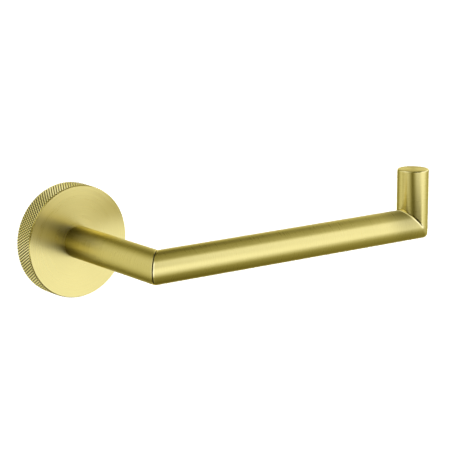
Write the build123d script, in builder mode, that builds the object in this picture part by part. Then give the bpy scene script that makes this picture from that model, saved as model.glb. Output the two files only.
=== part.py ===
from build123d import *
import os

# Wall-mounted toilet paper holder: a knurled round flange, a post, an open arm and an upturned tip.
# The wall is the plane Y = 0 and the room is on -Y. The origin is the centre of the flange's rear
# face. The post runs along -Y, the arm along +X and the tip along +Z. Sizes are in millimetres.

# Tube and layout
tube_radius = 8.0
tube_wall = 1.2
reach = 78.0               # wall to the arm's axis
span = 158.0               # post's axis to the tip's axis
rise = 28.4                # arm's axis to the top of the tip
weld_corner_radius = 1.8   # polished outer edge of the corner between arm and tip

# Knurled cover
flange_radius = 28.0       # over the knurl's crests
flange_depth = 11.4
flange_face = 3.5          # thickness of the front face
cavity_radius = 23.5
front_edge_radius = 0.4
rear_edge_radius = 0.2

# Wall bracket
bracket_radius = 23.3
bracket_thickness = 6.0
bracket_bore_radius = 9.0
bracket_edge_chamfer = 0.5
wall_screw_spacing = 31.0
wall_screw_hole_radius = 2.25
wall_screw_head_radius = 4.6
groove_depth = 1.2
groove_overcut = 0.3

# M4 set screw, on the middle of the bracket's groove
set_screw_radius = 2.0
set_screw_length = 5.0
set_screw_point_radius = 0.3
set_screw_point_gap = 0.08
set_screw_socket_flats = 2.0
set_screw_socket_depth = 2.2
set_screw_depth = bracket_thickness / 2

# M6 tie bolt and its washers
bolt_radius = 3.0
bolt_length = 65.0
bolt_head_radius = 5.25
bolt_head_height = 3.3
bolt_head_round = 2.4
bolt_socket_flats = 4.0
bolt_socket_depth = 2.1
bolt_end_chamfer = 0.6
washer_thickness = 1.6
flat_washer_radius = 6.0
flat_washer_hole_radius = 3.2
spring_washer_radius = 5.6
spring_washer_hole_radius = 3.1
spring_washer_gap = 1.0
spring_washer_slant = 25.0

# Post plug, elbow and tip cap
thread_clearance = 0.05
plug_clearance = 0.05
plug_length = 12.0
plug_hole_radius = 3.3
plug_chamfer = 0.5
spigot_radius = 5.0
spigot_flats = 8.0
spigot_length = 3.3
spigot_clearance = 0.05
elbow_leg = 18.0
elbow_thread_depth = 13.0
cap_thickness = 1.5
cap_edge_radius = 0.6
cap_spigot_length = 3.0

# Sizes that follow from the ones above
bore_radius = tube_radius - tube_wall
plug_radius = bore_radius - plug_clearance
spigot_hole_radius = spigot_radius + spigot_clearance
spigot_hole_flats = spigot_flats + 2 * spigot_clearance
cavity_depth = flange_depth - flange_face
groove_radius = bracket_radius - groove_depth
set_screw_tip = groove_radius + set_screw_point_radius + set_screw_point_gap
set_screw_head = set_screw_tip + set_screw_length
washer_seat = cavity_depth - washer_thickness
bolt_seat = washer_seat - washer_thickness

# Planes square to the post, the arm and the tip, and the two mitres
arm_plane = Plane(origin=(-tube_radius, -reach, 0), x_dir=(0, 1, 0), z_dir=(1, 0, 0))
tip_plane = Plane(origin=(span, -reach, -tube_radius), z_dir=(0, 0, 1))
cap_plane = Plane(origin=(span, -reach, rise - cap_thickness), z_dir=(0, 0, 1))
set_screw_plane = Plane(origin=(0, -set_screw_depth, -set_screw_head), z_dir=(0, 0, 1))
post_mitre = Plane(origin=(0, -reach, 0), z_dir=(-1, 1, 0))
tip_mitre = Plane(origin=(span, -reach, 0), z_dir=(1, 0, 1))


def post_plane(distance):
    """The plane square to the post at this distance from the wall, facing the room."""
    return Plane.XZ.offset(distance)


def disc(plane, radius):
    """A circle on a plane."""
    with BuildSketch(plane) as outline:
        Circle(radius)
    return outline.sketch


def ring(plane, outer_radius, inner_radius):
    """A circle with a hole in it, on a plane."""
    with BuildSketch(plane) as outline:
        Circle(outer_radius)
        Circle(inner_radius, mode=Mode.SUBTRACT)
    return outline.sketch


def hexagon(plane, flats):
    """A hexagon socket's outline on a plane."""
    with BuildSketch(plane) as outline:
        RegularPolygon(flats / 2, side_count=6, major_radius=False)
    return outline.sketch


def flatted_circle(plane, radius, flats):
    """A circle with two flats, above and below its centre, on a plane."""
    with BuildSketch(plane) as outline:
        Circle(radius)
        Rectangle(2 * radius, flats, mode=Mode.INTERSECT)
    return outline.sketch


# What is polished away from the outer edge of the corner between arm and tip
with BuildSketch(Plane.XZ.offset(reach)) as weld_corner:
    with Locations((span + tube_radius, -tube_radius)):
        Rectangle(2 * weld_corner_radius, 2 * weld_corner_radius)
    with Locations((span + tube_radius - weld_corner_radius, weld_corner_radius - tube_radius)):
        Circle(weld_corner_radius, mode=Mode.SUBTRACT)


# Steel ring that is screwed to the wall
with BuildPart() as wall_bracket:
    extrude(disc(post_plane(0), bracket_radius), amount=bracket_thickness)
    chamfer(edges().group_by(Axis.Y)[0], length=bracket_edge_chamfer)
    extrude(disc(post_plane(0), bracket_bore_radius), amount=bracket_thickness, mode=Mode.SUBTRACT)
    with Locations(post_plane(bracket_thickness)):
        with GridLocations(wall_screw_spacing, 0, 2, 1):
            CounterSinkHole(radius=wall_screw_hole_radius, counter_sink_radius=wall_screw_head_radius)
    with BuildSketch(Plane.XY):
        with BuildLine():
            Polyline(
                (groove_radius, -set_screw_depth),
                (bracket_radius + groove_overcut, groove_depth + groove_overcut - set_screw_depth),
                (bracket_radius + groove_overcut, -groove_depth - groove_overcut - set_screw_depth),
                close=True,
            )
        make_face()
    revolve(axis=Axis.Y, mode=Mode.SUBTRACT)

# Cup that hides the bracket; its rim carries the knurl
with BuildPart() as cover_flange:
    extrude(disc(post_plane(0), flange_radius), amount=flange_depth)
    fillet(edges().group_by(Axis.Y)[0], radius=front_edge_radius)
    fillet(edges().group_by(Axis.Y)[-1], radius=rear_edge_radius)
    extrude(disc(post_plane(0), cavity_radius), amount=cavity_depth, mode=Mode.SUBTRACT)
    keyed_hole = flatted_circle(post_plane(cavity_depth), spigot_hole_radius, spigot_hole_flats)
    extrude(keyed_hole, amount=flange_face, mode=Mode.SUBTRACT)
    thread_start = set_screw_plane.offset(set_screw_head - flange_radius)
    thread_length = flange_radius - cavity_radius + tube_wall
    extrude(disc(thread_start, set_screw_radius + thread_clearance), amount=thread_length, mode=Mode.SUBTRACT)

# Cone-point screw, driven up from below the flange
with BuildPart() as set_screw:
    extrude(disc(set_screw_plane, set_screw_radius), amount=set_screw_length)
    chamfer(edges().group_by(Axis.Z)[-1], length=set_screw_radius - set_screw_point_radius)
    socket = hexagon(set_screw_plane, set_screw_socket_flats)
    extrude(socket, amount=set_screw_socket_depth, mode=Mode.SUBTRACT)

with BuildPart() as flat_washer:
    washer_outline = ring(post_plane(washer_seat), flat_washer_radius, flat_washer_hole_radius)
    extrude(washer_outline, amount=washer_thickness)

# Split washer, pressed flat; the split slants across its thickness
split_place = (0, -bolt_seat - washer_thickness / 2, spring_washer_radius)
with BuildPart() as spring_washer:
    washer_outline = ring(post_plane(bolt_seat), spring_washer_radius, spring_washer_hole_radius)
    extrude(washer_outline, amount=washer_thickness)
    with Locations(Location(split_place, (0, 0, spring_washer_slant))):
        Box(spring_washer_gap, 3 * washer_thickness, spring_washer_radius, mode=Mode.SUBTRACT)

# Button-head bolt, from inside the cover through the post to the elbow
bolt_end = post_plane(bolt_seat - bolt_head_height)
with BuildPart() as tie_bolt:
    extrude(disc(bolt_end, bolt_head_radius), amount=bolt_head_height)
    fillet(edges().group_by(Axis.Y)[-1], radius=bolt_head_round)
    extrude(disc(post_plane(bolt_seat), bolt_radius), amount=bolt_length)
    chamfer(edges().group_by(Axis.Y)[0], length=bolt_end_chamfer)
    extrude(hexagon(bolt_end, bolt_socket_flats), amount=bolt_socket_depth, mode=Mode.SUBTRACT)

# Plug in the post's foot; its flatted spigot keys the post to the cover
spigot_plane = post_plane(flange_depth - spigot_length)
with BuildPart() as post_plug:
    extrude(disc(post_plane(flange_depth), plug_radius), amount=plug_length)
    chamfer(edges().group_by(Axis.Y)[0], length=plug_chamfer)
    extrude(flatted_circle(spigot_plane, spigot_radius, spigot_flats), amount=spigot_length)
    extrude(disc(spigot_plane, plug_hole_radius), amount=spigot_length + plug_length, mode=Mode.SUBTRACT)

with BuildPart() as post_tube:
    tube_outline = ring(post_plane(flange_depth), tube_radius, bore_radius)
    extrude(tube_outline, amount=reach - flange_depth + tube_radius)
    split(bisect_by=post_mitre, keep=Keep.TOP)

# Solid elbow inside the dry mitre, tapped along the post for the bolt
with BuildPart() as corner_elbow:
    with BuildLine():
        Polyline((0, elbow_leg - reach, 0), (0, -reach, 0), (elbow_leg, -reach, 0))
    with BuildSketch(post_plane(reach - elbow_leg)):
        Circle(plug_radius)
    sweep(transition=Transition.RIGHT)
    chamfer(edges().group_by(Axis.Y)[-1], length=plug_chamfer)
    chamfer(edges().group_by(Axis.X)[-1], length=plug_chamfer)
    tapped_hole = disc(post_plane(reach - elbow_leg), bolt_radius + thread_clearance)
    extrude(tapped_hole, amount=elbow_thread_depth, mode=Mode.SUBTRACT)

with BuildPart() as arm_tube:
    extrude(ring(arm_plane, tube_radius, bore_radius), amount=span + 2 * tube_radius)
    split(bisect_by=post_mitre, keep=Keep.BOTTOM)
    split(bisect_by=tip_mitre, keep=Keep.BOTTOM)
    extrude(weld_corner.sketch, amount=tube_radius, both=True, mode=Mode.SUBTRACT)

with BuildPart() as tip_tube:
    tube_outline = ring(tip_plane, tube_radius, bore_radius)
    extrude(tube_outline, amount=rise - cap_thickness + tube_radius)
    split(bisect_by=tip_mitre, keep=Keep.TOP)
    extrude(weld_corner.sketch, amount=tube_radius, both=True, mode=Mode.SUBTRACT)

# Flat cap with a spigot inside the tip
with BuildPart() as tip_cap:
    extrude(disc(cap_plane, tube_radius), amount=cap_thickness)
    fillet(edges().group_by(Axis.Z)[-1], radius=cap_edge_radius)
    extrude(disc(cap_plane, plug_radius), amount=-cap_spigot_length)

pieces = {
    "wall_bracket": wall_bracket,
    "cover_flange": cover_flange,
    "set_screw": set_screw,
    "flat_washer": flat_washer,
    "spring_washer": spring_washer,
    "tie_bolt": tie_bolt,
    "post_plug": post_plug,
    "post_tube": post_tube,
    "corner_elbow": corner_elbow,
    "arm_tube": arm_tube,
    "tip_tube": tip_tube,
    "tip_cap": tip_cap,
}

os.makedirs("parts", exist_ok=True)
for piece_name, piece in pieces.items():
    piece.part.label = piece_name
    export_step(piece.part, f"parts/{piece_name}.step")
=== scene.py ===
import math

import bmesh
import bpy
import numpy as np
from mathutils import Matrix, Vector


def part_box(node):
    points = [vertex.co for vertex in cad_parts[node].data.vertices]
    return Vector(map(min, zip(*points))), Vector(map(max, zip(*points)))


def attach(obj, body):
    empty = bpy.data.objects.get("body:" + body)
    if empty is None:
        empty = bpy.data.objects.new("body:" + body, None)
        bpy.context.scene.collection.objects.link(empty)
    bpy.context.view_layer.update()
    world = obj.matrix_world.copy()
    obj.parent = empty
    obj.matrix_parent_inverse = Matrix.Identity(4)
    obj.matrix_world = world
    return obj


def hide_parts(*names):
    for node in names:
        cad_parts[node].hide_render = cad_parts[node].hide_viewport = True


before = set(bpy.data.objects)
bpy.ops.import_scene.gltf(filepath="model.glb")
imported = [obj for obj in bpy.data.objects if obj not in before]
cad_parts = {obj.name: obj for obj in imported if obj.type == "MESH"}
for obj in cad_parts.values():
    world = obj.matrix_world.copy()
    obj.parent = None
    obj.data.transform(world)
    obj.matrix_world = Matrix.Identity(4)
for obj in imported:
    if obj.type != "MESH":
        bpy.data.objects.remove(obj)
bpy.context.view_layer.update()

MM = 0.001
scene = bpy.context.scene

# ---------------------------------------------------------------- sizes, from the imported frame
X, Y, Z = Vector((1, 0, 0)), Vector((0, 1, 0)), Vector((0, 0, 1))
flange_low, flange_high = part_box("cover_flange")
arm_low, arm_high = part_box("arm_tube")
cap_low, cap_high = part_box("tip_cap")
elbow_low, elbow_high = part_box("corner_elbow")
bracket_low, bracket_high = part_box("wall_bracket")
screw_low, screw_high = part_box("set_screw")

bracket_gap = 0.2 * MM         # between the bracket and the cover's cavity
thread_gap = 0.05 * MM
tube_radius = (arm_high.z - arm_low.z) / 2
bore_radius = (elbow_high.z - elbow_low.z) / 2
flange_radius = (flange_high.z - flange_low.z) / 2
flange_depth = flange_high.y - flange_low.y
cavity_radius = (bracket_high.z - bracket_low.z) / 2 + bracket_gap
screw_hole_radius = (screw_high.x - screw_low.x) / 2 + thread_gap
screw_depth = -(screw_low.y + screw_high.y) / 2
reach = -(arm_low.y + arm_high.y) / 2
span = (cap_low.x + cap_high.x) / 2
tip_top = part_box("tip_tube")[1].z
rise = cap_high.z

# ---------------------------------------------------------------- sizes of the visible detail
tube_segments = 192
mitre_gap = 0.48 * MM          # width of the hairline in the dry mitre
mitre_edge = 0.15 * MM         # edge break on each side of it
arm_bevel = 1.05 * MM          # the dressed weld's crease: how far it runs along the arm,
tip_bevel = 0.50 * MM          # along the tip,
crease_depth = 0.24 * MM       # and how far it sinks
corner_blend = 2.1 * MM        # rounding over that mitre's outer corner:
outer_start = -0.10            # it starts where the mitre's plane has this slope
outer_full = 0.25              # and is complete where the plane leans out by this one
corner_steps = 9               # rings over each broken edge
corner_pull = 0.2              # how near the crease's curve keeps to the sharp corner
foot_edge = 0.15 * MM
cap_edge = 0.6 * MM

knurl_count = 126              # grooves each way, 1.2 mm apart across the groove
knurl_helix = math.radians(30)
knurl_depth = 0.46 * MM
knurl_flat = 0.42              # share of the pitch left flat at a crest
knurl_steps = 8                # columns for each groove
front_edge = 0.50 * MM         # how far in the cover's front edge is turned off
front_edge_length = 0.65 * MM  # and how far back
front_edge_curve = 1.2         # 1 is a straight chamfer, and more is rounder
rear_edge = 0.18 * MM
front_edge_rings = 7
rear_edge_rings = 5
face_insets = [inset * MM for inset in (0.9, 4.0, 9.0, 14.0)]  # rings on the front face, in from the rim
face_thickness = 3.5 * MM
keyed_hole_radius = 5.05 * MM
cover_sharp = 25               # degrees; the cover's edges above this stay sharp
cutter_overshoot = 1.0 * MM    # how far the screw hole's cutter sticks out at both ends
sliver = 0.005 * MM            # edges shorter than this, left by that cut, are closed up
cutter_segments = 48


# ---------------------------------------------------------------- mesh tools
def new_piece(name, points, faces, sharp_degrees):
    """A mesh object with outward normals, smooth up to the given edge angle."""
    mesh = bpy.data.meshes.new(name)
    mesh.from_pydata([tuple(p) for p in points], [], faces)
    shape = bmesh.new()
    shape.from_mesh(mesh)
    bmesh.ops.recalc_face_normals(shape, faces=shape.faces)
    shape.to_mesh(mesh)
    shape.free()
    mesh.polygons.foreach_set("use_smooth", [True] * len(mesh.polygons))
    mesh.set_sharp_from_angle(angle=math.radians(sharp_degrees))
    piece = bpy.data.objects.new(name, mesh)
    scene.collection.objects.link(piece)
    return piece


def join_rings(rings, closed):
    """The points and quads of a surface through rings of equal length, closed on itself or not."""
    count = len(rings[0])
    points = np.concatenate(rings)
    pairs = [(i, i + 1) for i in range(len(rings) - 1)]
    if closed:
        pairs.append((len(rings) - 1, 0))
    faces = []
    for low, high in pairs:
        for k in range(count):
            after = (k + 1) % count
            faces.append((low * count + k, low * count + after, high * count + after, high * count + k))
    return points, faces


def radial_directions(axis, count):
    """Unit vectors round an axis."""
    side = np.array(Z if abs(axis.z) < 0.5 else Y, float)
    other = np.cross(np.array(axis, float), side)
    angle = np.linspace(0, 2 * math.pi, count, endpoint=False)[:, None]
    return np.cos(angle) * side + np.sin(angle) * other


class TubeEnd:
    """One end of a tube: where its plane meets the tube's axis, and how the plane leans."""

    def __init__(self, place, lean=(0, 0, 0), edge=0.0, depth=None, round_to=None):
        self.place = place
        self.lean = np.array(lean, float)
        self.edge = edge
        self.depth = edge if depth is None else depth
        self.round_to = None if round_to is None else np.array(round_to, float)


def end_rings(end, origin, outward, radial, axis):
    """Rings from the tube's outer surface over the broken edge to the bore, at one end."""
    slope = (radial @ end.lean)[:, None]

    def on_plane(radius):
        return origin + axis * (end.place + radius * slope) + radius * radial

    corner = on_plane(tube_radius)
    if not end.edge:
        return [corner, on_plane(bore_radius)]
    inward = -(radial + axis * slope)
    inward /= np.linalg.norm(inward, axis=1)[:, None]
    start, finish = corner - outward * end.edge, corner + inward * end.depth
    middle = corner
    if end.depth != end.edge:
        middle = corner_pull * corner + (1 - corner_pull) / 2 * (start + finish)
    lean_out = slope * np.sign(outward @ axis)
    outer_share = np.clip((lean_out - outer_start) / (outer_full - outer_start), 0, 1)
    rings = []
    for step in range(corner_steps):
        t = step / (corner_steps - 1)
        ring = (1 - t) ** 2 * start + 2 * t * (1 - t) * middle + t**2 * finish
        if end.round_to is not None:
            half = t / 2
            round_ring = corner + corner_blend * (half**2 * end.round_to - (1 - half) ** 2 * outward)
            ring = ring + outer_share * (round_ring - ring)
        rings.append(ring)
    rings.append(on_plane(bore_radius))
    return rings


def tube(name, origin, axis, first, last):
    """A tube between two ends, as one closed shell."""
    radial = radial_directions(axis, tube_segments)
    axis, origin = np.array(axis, float), np.array(origin, float)
    first_rings = end_rings(first, origin, -axis, radial, axis)
    last_rings = end_rings(last, origin, axis, radial, axis)
    points, faces = join_rings(first_rings[::-1] + last_rings, closed=True)
    return new_piece(name, points, faces, sharp_degrees=35)


def lathe(name, origin, axis, profile, segments, sharp_degrees):
    """A solid turned about an axis from (radius, height) points; it starts and ends on the axis."""
    radial = radial_directions(axis, segments)
    axis, origin = np.array(axis, float), np.array(origin, float)
    rings = [origin + axis * height + radius * radial for radius, height in profile[1:-1]]
    points, faces = join_rings(rings, closed=False)
    ends = [origin + axis * profile[0][1], origin + axis * profile[-1][1]]
    points = np.concatenate([points, ends])
    first_pole, last_pole = len(points) - 2, len(points) - 1
    last_ring = (len(rings) - 1) * segments
    for k in range(segments):
        after = (k + 1) % segments
        faces.append((first_pole, after, k))
        faces.append((last_pole, last_ring + k, last_ring + after))
    return new_piece(name, points, faces, sharp_degrees)


def quarter_round(centre_radius, centre_height, radius):
    """(radius, height) points on a quarter circle, from a turned piece's rim to its face."""
    angles = [math.radians(90 * i / (corner_steps - 1)) for i in range(corner_steps)]
    return [(centre_radius + radius * math.cos(a), centre_height + radius * math.sin(a)) for a in angles]


# ---------------------------------------------------------------- tubes and cap
half_gap = mitre_gap / math.sqrt(2)
post = tube(
    "post", (0, 0, 0), -Y,
    TubeEnd(flange_depth, edge=foot_edge),
    TubeEnd(reach - half_gap, lean=-X, edge=mitre_edge),
)
arm = tube(
    "arm", (0, -reach, 0), X,
    TubeEnd(half_gap, lean=Y, edge=mitre_edge),
    TubeEnd(span, lean=-Z, edge=arm_bevel, depth=crease_depth, round_to=Z),
)
tip = tube(
    "tip", (span, -reach, 0), Z,
    TubeEnd(0, lean=-X, edge=tip_bevel, depth=crease_depth, round_to=-X),
    TubeEnd(tip_top),
)

cap_profile = [(0, cap_low.z), (bore_radius, cap_low.z), (bore_radius, tip_top), (tube_radius, tip_top)]
cap_profile += quarter_round(tube_radius - cap_edge, rise - cap_edge, cap_edge)
cap_profile += [(tube_radius / 2, rise), (0, rise)]
cap = lathe("cap", (span, -reach, 0), Z, cap_profile, tube_segments, sharp_degrees=40)


# ---------------------------------------------------------------- knurled cover
def knurl_height(around, along):
    """How far the knurl stands below its crests, from 0 to 1, at a place counted in pitches."""
    cut = []
    for place in (around + along, around - along):
        from_groove = np.abs(place - np.round(place)) * 2
        cut.append(np.clip((1 - knurl_flat - from_groove) / (1 - knurl_flat), 0, 1))
    return np.maximum(*cut)


def rim_limit(depth):
    """The radius that the cover's turned edges leave at a depth from the wall."""
    behind = max(1 - depth / rear_edge, 0)
    beyond = max((depth - flange_depth) / front_edge_length + 1, 0)
    cut = rear_edge * (1 - math.sqrt(1 - behind**2)) + front_edge * min(beyond, 1) ** front_edge_curve
    return flange_radius - cut


def rim_depths(row):
    """Depths of the rim's rings: rows along the knurl, and closer ones over both turned edges."""
    depths = set(np.arange(rear_edge, flange_depth - front_edge_length, row))
    depths |= set(np.linspace(0, rear_edge, rear_edge_rings))
    depths |= set(flange_depth - front_edge_length * np.linspace(0, 1, front_edge_rings))
    return sorted(depths)


def flat_ring(directions, radius, depth):
    """A ring of points square to the cover's axis, at a depth from the wall."""
    return radius * directions + np.array([0, -depth, 0])


def knurled_rings(directions):
    """Rings of the knurled rim, from the rear face's outer edge round to the front face."""
    axial_pitch = 2 * math.pi * flange_radius / knurl_count / math.tan(knurl_helix)
    column = np.arange(len(directions)) / knurl_steps
    rings = []
    for depth in rim_depths(axial_pitch / knurl_steps):
        radius = flange_radius - knurl_depth * knurl_height(column, depth / axial_pitch)
        radius = np.minimum(radius, rim_limit(depth))[:, None]
        rings.append(flat_ring(directions, radius, depth))
    return rings


def stitch(fine_start, fine_count, coarse_start):
    """Triangles from a ring of fine points to the ring beside it, which has a quarter as many."""
    coarse_count = fine_count // 4
    made = []
    for k in range(coarse_count):
        here, there = coarse_start + k, coarse_start + (k + 1) % coarse_count
        fine = [fine_start + (4 * k + i) % fine_count for i in range(5)]
        made += [(here, fine[0], fine[1]), (here, fine[1], fine[2]), (here, fine[2], there)]
        made += [(there, fine[2], fine[3]), (there, fine[3], fine[4])]
    return made


def cover_shell():
    """The cover without its screw hole: knurled rim, front face, round hole, cavity and rear face."""
    fine = radial_directions(-Y, knurl_count * knurl_steps)
    coarse = fine[::4]
    inner_depth = flange_depth - face_thickness
    inner_rings = [flat_ring(coarse, flange_radius - inset, flange_depth) for inset in face_insets]
    inner_rings += [
        flat_ring(coarse, keyed_hole_radius, flange_depth),
        flat_ring(coarse, keyed_hole_radius, inner_depth),
        flat_ring(coarse, cavity_radius, inner_depth),
        flat_ring(coarse, cavity_radius, 0),
        flat_ring(coarse, flange_radius - face_insets[0], 0),
    ]
    rim_points, faces = join_rings(knurled_rings(fine), closed=False)
    inner_points, inner_faces = join_rings(inner_rings, closed=False)
    offset = len(rim_points)
    faces += [tuple(i + offset for i in face) for face in inner_faces]
    faces += stitch(offset - len(fine), len(fine), offset)
    faces += stitch(0, len(fine), offset + len(inner_points) - len(coarse))
    return new_piece("cover", np.concatenate([rim_points, inner_points]), faces, cover_sharp)


def clean_cut(mesh):
    """Close up the slivers that a cut leaves, and delete faces that lie back to back."""
    shape = bmesh.new()
    shape.from_mesh(mesh)
    bmesh.ops.dissolve_degenerate(shape, dist=sliver, edges=shape.edges)
    bmesh.ops.triangulate(shape, faces=[face for face in shape.faces if len(face.verts) > 4])
    by_corners = {}
    for face in shape.faces:
        by_corners.setdefault(frozenset(face.verts), []).append(face)
    doubled = [face for same in by_corners.values() if len(same) > 1 for face in same]
    bmesh.ops.delete(shape, geom=doubled, context="FACES")
    shape.to_mesh(mesh)
    shape.free()


def drill_screw_hole(piece):
    """Cut the set screw's hole through the rim, from below."""
    length = flange_radius - cavity_radius + 2 * cutter_overshoot
    base = Vector((0, -screw_depth, -flange_radius - cutter_overshoot))
    profile = [(0, 0), (screw_hole_radius, 0), (screw_hole_radius, length), (0, length)]
    cutter = lathe("cutter", base, Z, profile, cutter_segments, sharp_degrees=40)
    cut = piece.modifiers.new("set_screw_hole", "BOOLEAN")
    cut.operation = "DIFFERENCE"
    cut.object = cutter
    cut.solver = "EXACT"
    evaluated = piece.evaluated_get(bpy.context.evaluated_depsgraph_get())
    piece.data = bpy.data.meshes.new_from_object(evaluated)
    piece.modifiers.clear()
    bpy.data.objects.remove(cutter)
    clean_cut(piece.data)
    piece.data.set_sharp_from_angle(angle=math.radians(cover_sharp))


cover = cover_shell()
drill_screw_hole(cover)

# ---------------------------------------------------------------- which piece stands for which node
stands_for = (
    (post, "post_tube"),
    (arm, "arm_tube"),
    (tip, "tip_tube"),
    (cap, "tip_cap"),
    (cover, "cover_flange"),
)
for piece, node in stands_for:
    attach(piece, "holder")
    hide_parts(node)


# ---------------------------------------------------------------- shader tools
def link(tree, value, socket):
    """Set a socket to a number or a colour, or link another node's output to it."""
    if isinstance(value, bpy.types.NodeSocket):
        tree.links.new(value, socket)
    else:
        socket.default_value = value


def scalar(tree, operation, *values):
    """A Math node."""
    node = tree.nodes.new("ShaderNodeMath")
    node.operation = operation
    for value, socket in zip(values, node.inputs):
        link(tree, value, socket)
    return node.outputs["Value"]


def vector_math(tree, operation, *values):
    """A Vector Math node, for vector() and measure() to read."""
    node = tree.nodes.new("ShaderNodeVectorMath")
    node.operation = operation
    for value, socket in zip(values, node.inputs):
        link(tree, value, socket)
    return node


def vector(tree, operation, *values):
    """A Vector Math node that gives a vector."""
    return vector_math(tree, operation, *values).outputs[0]


def measure(tree, operation, *values):
    """A Vector Math node that gives a number, such as a length or a dot product."""
    return vector_math(tree, operation, *values).outputs[1]


def scaled(tree, direction, amount):
    """A vector times a number."""
    node = tree.nodes.new("ShaderNodeVectorMath")
    node.operation = "SCALE"
    link(tree, direction, node.inputs["Vector"])
    link(tree, amount, node.inputs["Scale"])
    return node.outputs["Vector"]


def ramp(tree, value, low, high, from_low, from_high):
    """A smooth step from low to high, as the value goes from from_low to from_high."""
    node = tree.nodes.new("ShaderNodeMapRange")
    node.interpolation_type = "SMOOTHSTEP"
    node.inputs["From Min"].default_value = from_low
    node.inputs["From Max"].default_value = from_high
    node.inputs["To Min"].default_value = low
    node.inputs["To Max"].default_value = high
    link(tree, value, node.inputs["Value"])
    return node.outputs["Result"]


def object_place(tree):
    """Where a point is, in the piece's own frame."""
    return tree.nodes.new("ShaderNodeTexCoord").outputs["Object"]


def noise(tree, place, scale, detail):
    """Noise from 0 to 1, in three dimensions."""
    node = tree.nodes.new("ShaderNodeTexNoise")
    link(tree, place, node.inputs["Vector"])
    node.inputs["Scale"].default_value = scale
    node.inputs["Detail"].default_value = detail
    return node.outputs["Fac"]


def mixed(tree, amount, first, second):
    """A colour between two."""
    node = tree.nodes.new("ShaderNodeMix")
    node.data_type = "RGBA"
    link(tree, amount, node.inputs["Factor"])
    link(tree, first if isinstance(first, bpy.types.NodeSocket) else (*first, 1), node.inputs[6])
    link(tree, second if isinstance(second, bpy.types.NodeSocket) else (*second, 1), node.inputs[7])
    return node.outputs[2]


def tint(colour, amount):
    """A colour made darker or lighter."""
    return tuple(min(part * amount, 1.0) for part in colour)


# ---------------------------------------------------------------- metals
grain_rotation = 0.25                  # a quarter turn, so highlights spread across the grain
line_band = (0.3, 0.7)                 # noise levels over which the grain goes from dark to light
rough_band = (0.25, 0.75)              # and from smooth to rough
corner_fade = 0.8                      # share of a rounded edge that is marked in full


def new_metal(name, roughness, anisotropy, axis):
    """A bare metal shader, with its grain running round an axis."""
    material = bpy.data.materials.new(name)
    material.use_nodes = True
    tree = material.node_tree
    shader = tree.nodes["Principled BSDF"]
    shader.inputs["Metallic"].default_value = 1.0
    shader.inputs["Roughness"].default_value = roughness
    shader.inputs["Anisotropic"].default_value = anisotropy
    shader.inputs["Anisotropic Rotation"].default_value = grain_rotation
    tangent = tree.nodes.new("ShaderNodeTangent")
    tangent.direction_type = "RADIAL"
    tangent.axis = axis
    tree.links.new(tangent.outputs["Tangent"], shader.inputs["Tangent"])
    return material, tree, shader


def turned_place(tree, centre, direction):
    """Where a point is on a turned piece: its height, its radius and the unit vector round the axis."""
    offset = vector(tree, "SUBTRACT", object_place(tree), tuple(centre))
    height = measure(tree, "DOT_PRODUCT", offset, tuple(direction))
    flat = vector(tree, "SUBTRACT", offset, scaled(tree, tuple(direction), height))
    return height, measure(tree, "LENGTH", flat), vector(tree, "NORMALIZE", flat)


def grain(tree, turned, direction, width, turns, detail):
    """Noise drawn out round the axis: lines of one width, and a number of them in a turn."""
    height, radius, around = turned
    across = scalar(tree, "DIVIDE", scalar(tree, "ADD", height, radius), width)
    place = vector(tree, "ADD", scaled(tree, around, turns), scaled(tree, tuple(direction), across))
    return noise(tree, place, 1.0, detail)


def bump(tree, shader, height, depth):
    """Relief from a height of 0 to 1 times a depth."""
    node = tree.nodes.new("ShaderNodeBump")
    node.inputs["Strength"].default_value = 1.0
    node.inputs["Distance"].default_value = depth
    link(tree, height, node.inputs["Height"])
    tree.links.new(node.outputs["Normal"], shader.inputs["Normal"])


def near_planes(tree, planes, full, none):
    """1 up to one distance from the given planes, fading to 0 at another."""
    place = object_place(tree)
    near = 0.0
    for point, normal in planes:
        offset = vector(tree, "SUBTRACT", place, tuple(point))
        signed = measure(tree, "DOT_PRODUCT", offset, tuple(normal.normalized()))
        distance = scalar(tree, "ABSOLUTE", signed)
        near = scalar(tree, "MAXIMUM", near, ramp(tree, distance, 1.0, 0.0, full, none))
    return near


def near_point(tree, point, reach_out):
    """1 at a point, fading to 0 at a distance."""
    offset = vector(tree, "SUBTRACT", object_place(tree), tuple(point))
    return ramp(tree, measure(tree, "LENGTH", offset), 1.0, 0.0, 0.0, reach_out)


def rounded_corner(tree, height, radius, top, rim, width):
    """1 on the rounded edge between a turned piece's face and its rim."""
    high = ramp(tree, height, 0.0, 1.0, top - width, top - corner_fade * width)
    wide = ramp(tree, radius, 0.0, 1.0, rim - width, rim - corner_fade * width)
    return scalar(tree, "MULTIPLY", high, wide)


# ---------------------------------------------------------------- brushed gold
gold = (0.80, 0.700, 0.255)
gold_edge_tint = (1.0, 0.93, 0.60)
gold_roughness = 0.30
gold_anisotropy = 0.6
roughness_swing = 0.04                 # how far the grain's roughness strays to each side
fine_line, fine_turns, fine_detail = 0.12 * MM, 1.4, 3.0
broad_line, broad_turns, broad_detail = 0.7 * MM, 0.8, 2.0
fine_share = 0.6                       # of the grain; the broad lines have the rest
line_tones = (0.95, 1.03)              # of the gold, in the grain's dark and light lines
line_depth = 0.0015 * MM
cloud_scale, cloud_detail = 45.0, 2.0  # soft patches in a metre,
cloud_band = (0.4, 0.8)                # the noise levels over which they come in, and
cloud_share, cloud_tone = 0.3, 0.95    # how strong and how dark they get
edge_roughness = 0.14
burnished_gold = (0.86, 0.77, 0.36)
burnished_full, burnished_none = 0.5 * arm_bevel, arm_bevel
crest_gold_with_painted_highlight = (1.00, 0.91, 0.43)        # the crests of the knurl, rubbed bright and lightened further as a painted highlight
knurl_reach = 1.1 * knurl_depth        # what lies within this of the rim's crests is knurled
groove_painted_shade = 0.14                     # painted shade in the grooves, coming in between these depths
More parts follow.
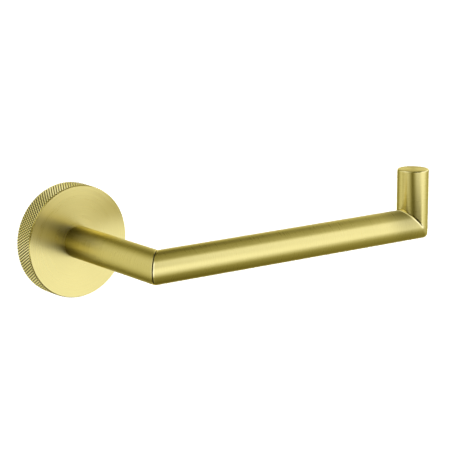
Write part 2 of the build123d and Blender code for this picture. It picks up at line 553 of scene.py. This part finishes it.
groove_start, groove_full = 0.30 * knurl_depth, 0.80 * knurl_depth
bore_painted_shade = 0.1                        # painted shade inside the tubes' bores, from this far inside
bore_start, bore_full = 0.3 * MM, 0.5 * MM
foot_painted_shade, foot_shade_reach = 0.46, 17 * MM  # painted shade on the post, darkest by the cover and fading out over this reach and painted shade round the inside of the welded corner, over this reach
nook_painted_shade, nook_shade_reach = 0.40, 20 * MM  # nor the inside of the welded corner, so they stay darker


def brushed_grain(tree, turned, direction):
    """Fine brushing lines over broad ones, from 0 to 1."""
    fine = grain(tree, turned, direction, fine_line, fine_turns, fine_detail)
    broad = grain(tree, turned, direction, broad_line, broad_turns, broad_detail)
    fine = scalar(tree, "MULTIPLY", fine, fine_share)
    return scalar(tree, "ADD", fine, scalar(tree, "MULTIPLY", broad, 1 - fine_share))


def knurled_tone(tree, tone, height, radius):
    """The tone with crests made bright by rubbing and by a painted highlight, painted shade in the grooves,
    and where that rim is.
    """
    below = scalar(tree, "SUBTRACT", flange_radius, radius)
    behind_edge = scalar(tree, "LESS_THAN", height, flange_depth - front_edge_length)
    on_rim = scalar(tree, "LESS_THAN", below, knurl_reach)
    on_rim = scalar(tree, "MULTIPLY", on_rim, behind_edge)
    deep = ramp(tree, below, 0.0, 1.0, groove_start, groove_full)
    # the knurled rim lightened: rubbed crests, and a painted highlight
    tone = mixed(tree, on_rim, tone, crest_gold_with_painted_highlight)
    # painted shade in the knurl's grooves
    tone = mixed(tree, scalar(tree, "MULTIPLY", on_rim, deep), tone, tint(gold, groove_painted_shade))
    return tone, on_rim


def brushed_gold(name, centre, direction, axis, planes=(), corner=None, knurled=False, foot=None, nook=None):
    """Satin gold brushed round the piece's axis, burnished on its edges, its knurl lightened by rubbing and
    by a painted highlight, with painted shade in the knurl's grooves, the bores, the post's foot and the
    welded corner.
    """
    material, tree, shader = new_metal(name, gold_roughness, gold_anisotropy, axis)
    shader.inputs["Specular Tint"].default_value = (*gold_edge_tint, 1)
    turned = turned_place(tree, centre, direction)
    height, radius = turned[:2]
    lines = brushed_grain(tree, turned, direction)
    dark_line, light_line = [tint(gold, part) for part in line_tones]
    tone = mixed(tree, ramp(tree, lines, 0.0, 1.0, *line_band), dark_line, light_line)
    cloud = noise(tree, object_place(tree), cloud_scale, cloud_detail)
    tone = mixed(tree, ramp(tree, cloud, 0.0, cloud_share, *cloud_band), tone, tint(gold, cloud_tone))
    # painted shade: darker at the post's foot and round the inside of the welded corner
    if foot is not None:
        tone = mixed(tree, near_planes(tree, [foot], 0.0, foot_shade_reach), tone, tint(gold, foot_painted_shade))
    if nook is not None:
        tone = mixed(tree, near_point(tree, nook, nook_shade_reach), tone, tint(gold, nook_painted_shade))
    burnished = near_planes(tree, planes, burnished_full, burnished_none)
    if corner is not None:
        burnished = scalar(tree, "MAXIMUM", burnished, rounded_corner(tree, height, radius, *corner))
    if knurled:
        tone, on_rim = knurled_tone(tree, tone, height, radius)
        burnished = scalar(tree, "MAXIMUM", burnished, on_rim)
    else:
        tone = mixed(tree, burnished, tone, burnished_gold)
    if planes:
        # painted shade inside the tubes' bores
        inside = ramp(tree, radius, 1.0, 0.0, tube_radius - bore_full, tube_radius - bore_start)
        tone = mixed(tree, inside, tone, tint(gold, bore_painted_shade))
    smoothing = scalar(tree, "MULTIPLY", burnished, edge_roughness - gold_roughness)
    smooth, coarse = gold_roughness - roughness_swing, gold_roughness + roughness_swing
    rough = scalar(tree, "ADD", ramp(tree, lines, smooth, coarse, *rough_band), smoothing)
    link(tree, tone, shader.inputs["Base Color"])
    link(tree, rough, shader.inputs["Roughness"])
    bump(tree, shader, lines, line_depth)
    return material


near_mitre = (Vector((0, -reach, 0)), X - Y)
far_mitre = (Vector((span, -reach, 0)), X + Z)
foot_plane = (Vector((0, -flange_depth, 0)), Y)
inside_corner = Vector((span - tube_radius, -reach, tube_radius))
corner_margin = 1.1                    # the mark on a rounded edge is this much wider than the edge
cap_corner = (rise, tube_radius, corner_margin * cap_edge)
cover_corner = (flange_depth, flange_radius, corner_margin * front_edge_length)
gold_pieces = (
    (post, (0, 0, 0), Y, "Y", {"planes": [near_mitre], "foot": foot_plane}),
    (arm, (0, -reach, 0), X, "X", {"planes": [near_mitre, far_mitre], "nook": inside_corner}),
    (tip, (span, -reach, 0), Z, "Z", {"planes": [far_mitre]}),
    (cap, (span, -reach, 0), Z, "Z", {"corner": cap_corner}),
    (cover, (0, 0, 0), -Y, "Y", {"corner": cover_corner, "knurled": True}),
)
for piece, centre, direction, axis, detail in gold_pieces:
    piece.data.materials.clear()
    piece.data.materials.append(brushed_gold("gold_" + piece.name, centre, direction, axis, **detail))

# The tip, with its cap and the elbow, stays out of reflections, so the crease in the arm reads clearly.
for piece in (tip, cap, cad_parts["corner_elbow"]):
    piece.visible_glossy = False

# ---------------------------------------------------------------- hardware behind the cover and in the tubes
hardware_anisotropy = 0.4
hardware_turns, hardware_detail = 1.2, 3.0
hardware_tones = (0.90, 1.05)          # of the metal, in the tool marks' dark and light lines
hardware_line_depth = 0.004 * MM
hardware_swing = 0.05                  # how far the marks' roughness strays to each side
hardware_cloud_relief = 0.5            # relief of the patches, as a share of the marks' relief
patch_detail = 4.0                     # dull patches: how ragged,
patch_share, patch_tone = 0.5, 0.72    # how strong and how dark they are,
patch_roughness = 0.14                 # how much rougher,
patch_band = (0.45, 0.7)               # and the noise levels over which they darken
patch_rough_band = (0.4, 0.7)          # and roughen the metal
wear_width = 0.5 * MM                  # edges rubbed bright: how wide,
wear_tone, wear_polish = 1.25, 0.12    # how light and how much smoother they are,
wear_left = 0.3                        # and how much of the wear is left in a patch
zinc = (0.62, 0.63, 0.64)
stainless = (0.58, 0.57, 0.55)
brass = (0.80, 0.62, 0.28)


def worn_edges(tree, node, direction, height, radius, cloud):
    """1 on the outer edges of a turned node, less in its dull patches."""
    low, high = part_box(node)
    half_length = abs((high - low).dot(direction)) / 2
    outer = max(part for part, along in zip(high - low, direction) if not along) / 2
    from_middle = scalar(tree, "ABSOLUTE", height)
    at_end = ramp(tree, from_middle, 0.0, 1.0, half_length - wear_width, half_length)
    at_rim = ramp(tree, radius, 0.0, 1.0, outer - wear_width, outer)
    edge = scalar(tree, "MULTIPLY", at_end, at_rim)
    return scalar(tree, "MULTIPLY", edge, ramp(tree, cloud, 1.0, wear_left, *patch_rough_band))


def machined(node, colour, roughness, direction, axis, line, clouding):
    """Plain metal with tool marks round one axis, dull patches, and edges rubbed bright."""
    low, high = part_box(node)
    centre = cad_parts[node].matrix_world.inverted() @ ((low + high) / 2)
    material, tree, shader = new_metal(node + "_metal", roughness, hardware_anisotropy, axis)
    turned = turned_place(tree, centre, direction)
    height, radius = turned[:2]
    lines = grain(tree, turned, direction, line, hardware_turns, hardware_detail)
    cloud = noise(tree, object_place(tree), clouding, patch_detail)
    worn = worn_edges(tree, node, direction, height, radius, cloud)
    dark_line, light_line = [tint(colour, part) for part in hardware_tones]
    tone = mixed(tree, ramp(tree, lines, 0.0, 1.0, *line_band), dark_line, light_line)
    tone = mixed(tree, ramp(tree, cloud, 0.0, patch_share, *patch_band), tone, tint(colour, patch_tone))
    tone = mixed(tree, worn, tone, tint(colour, wear_tone))
    rough = ramp(tree, lines, roughness - hardware_swing, roughness + hardware_swing, *rough_band)
    rough = scalar(tree, "ADD", rough, ramp(tree, cloud, 0.0, patch_roughness, *patch_rough_band))
    rough = scalar(tree, "SUBTRACT", rough, scalar(tree, "MULTIPLY", worn, wear_polish))
    relief = scalar(tree, "ADD", lines, scalar(tree, "MULTIPLY", cloud, hardware_cloud_relief))
    link(tree, tone, shader.inputs["Base Color"])
    link(tree, rough, shader.inputs["Roughness"])
    bump(tree, shader, relief, hardware_line_depth)
    return material


# node, colour, roughness, axis, the axis's name, width of a tool mark, patches in a metre
hardware = (
    ("wall_bracket", zinc, 0.38, Y, "Y", 0.30 * MM, 260),
    ("set_screw", stainless, 0.26, Z, "Z", 0.10 * MM, 600),
    ("flat_washer", stainless, 0.30, Y, "Y", 0.12 * MM, 400),
    ("spring_washer", stainless, 0.32, Y, "Y", 0.12 * MM, 400),
    ("tie_bolt", stainless, 0.26, Y, "Y", 0.15 * MM, 400),
    ("post_plug", brass, 0.30, Y, "Y", 0.20 * MM, 300),
    ("corner_elbow", brass, 0.30, Y, "Y", 0.20 * MM, 300),
)
for node, *look in hardware:
    metal = machined(node, *look)
    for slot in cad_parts[node].material_slots:
        slot.material = metal

# ---------------------------------------------------------------- studio: reflected light
# azimuth from the front towards +X, elevation, half width and half height in degrees, and strength
softboxes = {
    "key_front": (13, -5, 37, 11, 1.55),
    "key_high": (43, 20, 11, 20, 1.50),
    "key_low": (31, -11, 10, 24, 1.10),
    "right": (71, 5, 35, 52, 0.50),
    "kicker": (84, 21, 32, 13, 1.00),
    "rear_right": (143, -6, 27, 30, 0.80),
    "rear_left": (-125, 13, 36, 60, 0.78),
    "left": (-80, -12, 21, 10, 0.82),
    "left_high": (-86, 44, 24, 16, 0.75),
}
box_edge = 3.5                         # 2 fades like a bell, and more gives a flatter, sharper panel
surround = 0.04                        # what the dim room sends from everywhere
brightest, shoulder = 1.3, 0.3         # overlapping panels add up to no more than this, rounded off below
warm_green, warm_blue = 1.06, 1.73     # spill from a panel is warmer the dimmer it is


def towards(azimuth, elevation):
    """The unit vector in a direction given in degrees."""
    azimuth, elevation = math.radians(azimuth), math.radians(elevation)
    flat = math.cos(elevation)
    return Vector((math.sin(azimuth) * flat, -math.cos(azimuth) * flat, math.sin(elevation)))


def softbox(tree, ray, azimuth, elevation, width, height, strength):
    """The light that a soft panel sends from a direction, fading outwards from its centre."""
    forward = towards(azimuth, elevation)
    right = towards(azimuth + 90, 0)
    up = forward.cross(right)
    side = measure(tree, "DOT_PRODUCT", ray, tuple(right))
    ahead = measure(tree, "DOT_PRODUCT", ray, tuple(forward))
    across = scalar(tree, "DIVIDE", scalar(tree, "ARCTAN2", side, ahead), math.radians(width))
    rise_angle = scalar(tree, "ARCSINE", measure(tree, "DOT_PRODUCT", ray, tuple(up)))
    upward = scalar(tree, "DIVIDE", rise_angle, math.radians(height))
    spread = 0.0
    for part in (across, upward):
        spread = scalar(tree, "ADD", scalar(tree, "POWER", scalar(tree, "ABSOLUTE", part), box_edge), spread)
    fade = scalar(tree, "EXPONENT", scalar(tree, "MULTIPLY", spread, -0.5))
    return scalar(tree, "MULTIPLY", fade, strength)


world = bpy.data.worlds.new("studio")
scene.world = world
world.use_nodes = True
sky = world.node_tree
ray = sky.nodes.new("ShaderNodeTexCoord").outputs["Generated"]
total = surround
for box in softboxes.values():
    total = scalar(sky, "ADD", softbox(sky, ray, *box), total)
total = scalar(sky, "SMOOTH_MIN", total, brightest, shoulder)
light = sky.nodes.new("ShaderNodeCombineXYZ")
link(sky, total, light.inputs["X"])
link(sky, scalar(sky, "POWER", total, warm_green), light.inputs["Y"])
link(sky, scalar(sky, "POWER", total, warm_blue), light.inputs["Z"])
link(sky, light.outputs["Vector"], sky.nodes["Background"].inputs["Color"])
scene.view_settings.view_transform = "Standard"


# ---------------------------------------------------------------- studio: floor and backdrop
floor_drop = 0.66                      # how high above a bathroom floor a holder is screwed on
stage_radius = 8.0
stage_height = 4.0
stage_step = 5                         # degrees between its corners
floor_grey = (0.9, 0.9, 0.9)
black = (0, 0, 0)


def stage_piece(name, points, faces, colour, glow):
    """A matt piece of the studio, lit, glowing or both, that shows in no reflection."""
    mesh = bpy.data.meshes.new(name)
    mesh.from_pydata([tuple(p) for p in points], [], faces)
    piece = bpy.data.objects.new(name, mesh)
    scene.collection.objects.link(piece)
    material = bpy.data.materials.new(name)
    material.use_nodes = True
    shader = material.node_tree.nodes["Principled BSDF"]
    shader.inputs["Base Color"].default_value = (*colour, 1)
    shader.inputs["Roughness"].default_value = 0.9
    shader.inputs["Specular IOR Level"].default_value = 0.0
    shader.inputs["Emission Color"].default_value = (1, 1, 1, 1)
    shader.inputs["Emission Strength"].default_value = glow
    mesh.materials.append(material)
    piece.visible_glossy = False
    return piece


outline = [stage_radius * towards(azimuth, 0) for azimuth in range(0, 360, stage_step)]
corners = len(outline)
low_outline = [p - floor_drop * Z for p in outline]
high_outline = [p + stage_height * Z for p in outline]
walls = [(k, (k + 1) % corners, corners + (k + 1) % corners, corners + k) for k in range(corners)]
ceiling = tuple(range(corners, 2 * corners))
stage_piece("floor", low_outline, [tuple(range(corners))], floor_grey, 0.0)
backdrop = stage_piece("backdrop", low_outline + high_outline, walls + [ceiling], black, 1.0)
backdrop.visible_diffuse = False
backdrop.visible_shadow = False

floor_light = bpy.data.lights.new("floor_light", "SUN")
floor_light.energy = 3.6
floor_light.angle = math.radians(60)
floor_lamp = bpy.data.objects.new("floor_light", floor_light)
scene.collection.objects.link(floor_lamp)
floor_lamp.visible_glossy = False

# ---------------------------------------------------------------- camera
camera_azimuth = math.radians(-36.77)
camera_elevation = math.radians(12.44)
camera_distance = 0.9864
camera_lens = 157.84
aim = Vector((72.56, -33.68, 2.76)) * MM
back = Vector((
    math.sin(camera_azimuth) * math.cos(camera_elevation),
    -math.cos(camera_azimuth) * math.cos(camera_elevation),
    math.sin(camera_elevation),
))
camera_data = bpy.data.cameras.new("camera")
camera_data.lens = camera_lens
camera_data.sensor_width = 36
camera = bpy.data.objects.new("camera", camera_data)
scene.collection.objects.link(camera)
camera.location = aim + back * camera_distance
camera.rotation_mode = "QUATERNION"
camera.rotation_quaternion = (-back).to_track_quat("-Z", "Y")
scene.camera = camera
